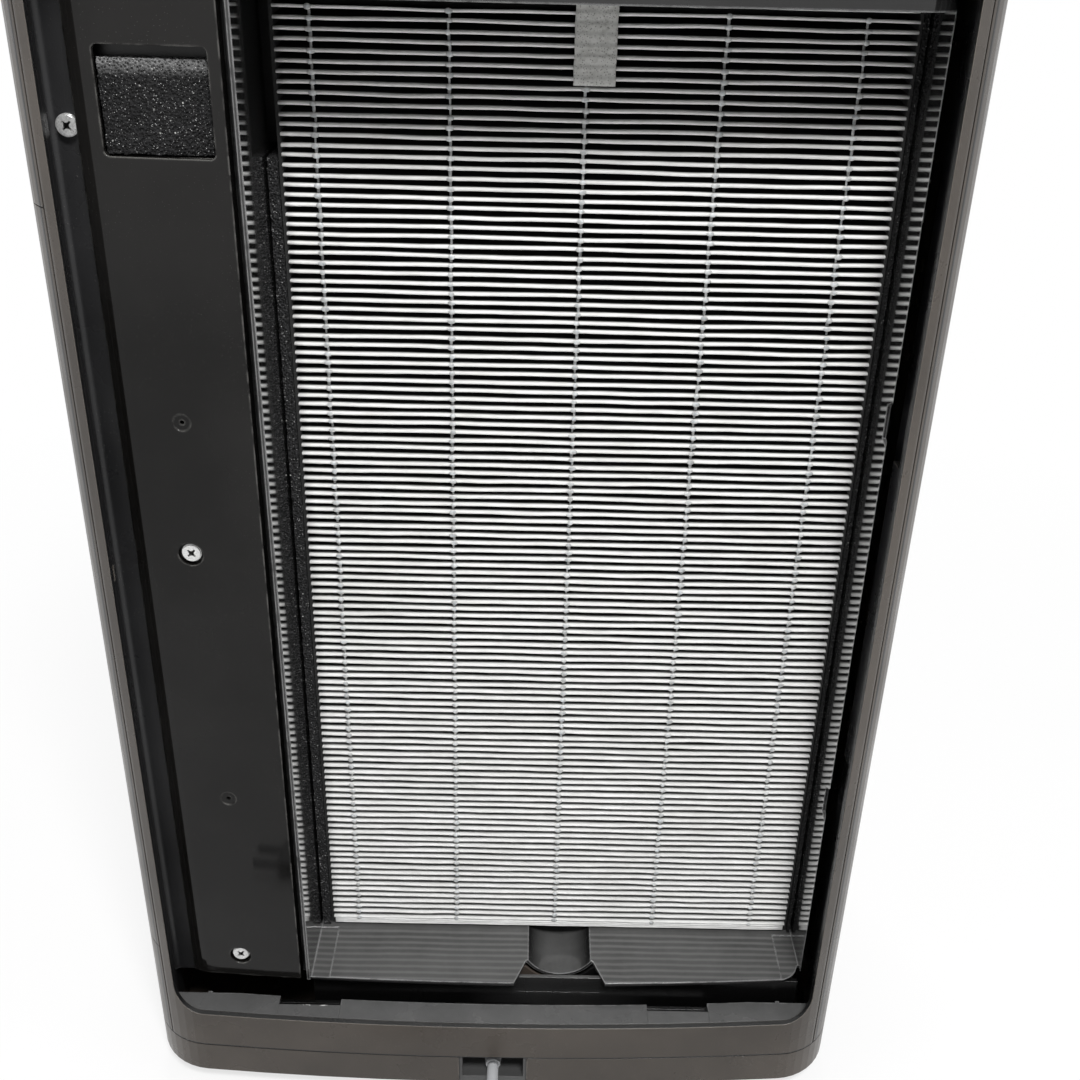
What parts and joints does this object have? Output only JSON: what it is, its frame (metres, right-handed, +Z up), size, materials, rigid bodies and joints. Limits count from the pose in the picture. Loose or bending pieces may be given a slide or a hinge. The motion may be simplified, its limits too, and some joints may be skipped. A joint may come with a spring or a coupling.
{
  "type": "air purifier",
  "caption": "Tower air purifier with a humidifying stage, rear cover off, showing the pleated filter in its well, a side cover with sensor window, cover ledge and mains cord",
  "frame": {"origin": "centre of the casing's footprint on the floor plane under the feet", "axes": "+Z up, +Y out of the open back where the filter is, +X towards the water tank side"},
  "size_m": [0.338, 0.3815, 0.58],
  "materials": {
    "casing": "semi-gloss moulded, warm dark brown grey",
    "gloss_dark": "glossy smoky dark brown",
    "inner_black": "glossy black moulded",
    "matte_black": "matt black moulded",
    "rubber_black": "matt rubber",
    "foam_black": "open-cell foam",
    "filter_paper": "pleated white filter paper",
    "glue": "white hot-melt glue",
    "card_black": "black card frame",
    "tab_cloth": "pale non-woven tape",
    "carbon": "matt grey-black sheet",
    "steel": "plain zinc-plated steel",
    "motor_metal": "grey painted steel can",
    "rotor_white": "pale moulded plastic",
    "board": "green circuit board",
    "pale_plastic": "pale grey moulded plastic",
    "wick": "white honeycomb fabric",
    "tank_clear": "smoky translucent moulded plastic",
    "cap_blue": "blue moulded plastic",
    "cord_grey": "light grey cord sheath",
    "liner_grey": "dark grey moulded plastic"
  },
  "bodies": {
    "cabinet": {"base_tray": "casing", "rubber_feet": "rubber_black", "chassis": "matte_black", "rear_frame": "casing", "cover_ledge": "casing", "cover_catches": "casing", "side_flange": "casing", "side_shell": "casing", "front_panel": "gloss_dark", "top_cover": "casing", "outlet_grille": "matte_black", "control_panel": "gloss_dark", "control_board": "board", "carry_grips": "matte_black", "filter_well": "inner_black", "well_grille": "inner_black", "side_cover": "gloss_dark", "sensor_foam": "foam_black", "sensor_board": "board", "cover_screws": "steel", "fan_scroll": "matte_black", "inlet_bell": "matte_black", "fan_motor": "motor_metal", "motor_screws": "steel", "humidifier_tray": "pale_plastic", "wheel_axle": "steel", "wheel_motor": "motor_metal", "tank_bay": "matte_black", "tank_rails": "matte_black", "power_board": "board", "ion_unit": "pale_plastic", "cord_liner": "liner_grey", "strain_relief": "cord_grey", "power_cord": "cord_grey", "cord_coil": "cord_grey", "cord_lead": "cord_grey", "plug_body": "cord_grey", "plug_pins": "steel"},
    "rotor": {"fan_rotor": "rotor_white", "rotor_nut": "steel", "motor_shaft": "steel"},
    "louver": {"louver_flap": "gloss_dark"},
    "power_button": {"button_power": "matte_black"},
    "speed_button": {"button_speed": "matte_black"},
    "mode_button": {"button_mode": "matte_black"},
    "humidify_button": {"button_humidify": "matte_black"},
    "lock_button": {"button_lock": "matte_black"},
    "carbon_filter": {"carbon_frame": "matte_black", "carbon_core": "carbon"},
    "hepa_filter": {"hepa_pleats": "filter_paper", "hepa_beads": "glue", "hepa_frame": "card_black", "hepa_gasket": "foam_black", "hepa_pull_tab": "tab_cloth"},
    "tank": {"tank_body": "tank_clear", "tank_door": "casing"},
    "tank_cap": {"tank_cap": "cap_blue"},
    "wheel": {"humidifier_wheel": "pale_plastic", "wheel_wick": "wick"},
    "pinion": {"wheel_pinion": "pale_plastic"}
  },
  "joints": [
    {"name": "rotor_spin", "type": "hinge", "parent": "cabinet", "child": "rotor", "pos_m": [-0.045, -0.04, 0.29], "axis": [0, 1, 0], "continuous": true},
    {"name": "louver_hinge", "type": "hinge", "parent": "cabinet", "child": "louver", "pos_m": [-0.0075, -0.013, 0.5766], "axis": [-1, 0, 0], "range_deg": [0, 80]},
    {"name": "power_press", "type": "slide", "parent": "cabinet", "child": "power_button", "axis": [0, 0, -1], "range_m": [0, 0.0008], "stiffness_N_per_m": 400, "springref_m": -0.0003},
    {"name": "speed_press", "type": "slide", "parent": "cabinet", "child": "speed_button", "axis": [0, 0, -1], "range_m": [0, 0.0008], "stiffness_N_per_m": 400, "springref_m": -0.0003},
    {"name": "mode_press", "type": "slide", "parent": "cabinet", "child": "mode_button", "axis": [0, 0, -1], "range_m": [0, 0.0008], "stiffness_N_per_m": 400, "springref_m": -0.0003},
    {"name": "humidify_press", "type": "slide", "parent": "cabinet", "child": "humidify_button", "axis": [0, 0, -1], "range_m": [0, 0.0008], "stiffness_N_per_m": 400, "springref_m": -0.0003},
    {"name": "lock_press", "type": "slide", "parent": "cabinet", "child": "lock_button", "axis": [0, 0, -1], "range_m": [0, 0.0008], "stiffness_N_per_m": 400, "springref_m": -0.0003},
    {"name": "carbon_pull", "type": "slide", "parent": "cabinet", "child": "carbon_filter", "axis": [0, 1, 0], "range_m": [0, 0.12]},
    {"name": "hepa_pull", "type": "slide", "parent": "carbon_filter", "child": "hepa_filter", "axis": [0, 1, 0], "range_m": [0, 0.12]},
    {"name": "tank_pull", "type": "slide", "parent": "cabinet", "child": "tank", "axis": [1, 0, 0], "range_m": [0, 0.12]},
    {"name": "cap_turn", "type": "hinge", "parent": "tank", "child": "tank_cap", "pos_m": [0.128, 0.01, 0.09], "axis": [0, 0, 1], "range_deg": [0, 90]},
    {"name": "wheel_spin", "type": "hinge", "parent": "cabinet", "child": "wheel", "pos_m": [-0.03, 0.009, 0.182], "axis": [0, 1, 0], "continuous": true},
    {"name": "pinion_spin", "type": "hinge", "parent": "cabinet", "child": "pinion", "pos_m": [-0.12828, 0.002, 0.23874], "axis": [0, 1, 0], "continuous": true}
  ],
  "couplings": [
    {"joint": "pinion_spin", "follows": "wheel_spin", "ratio": -6.8571}
  ]
}
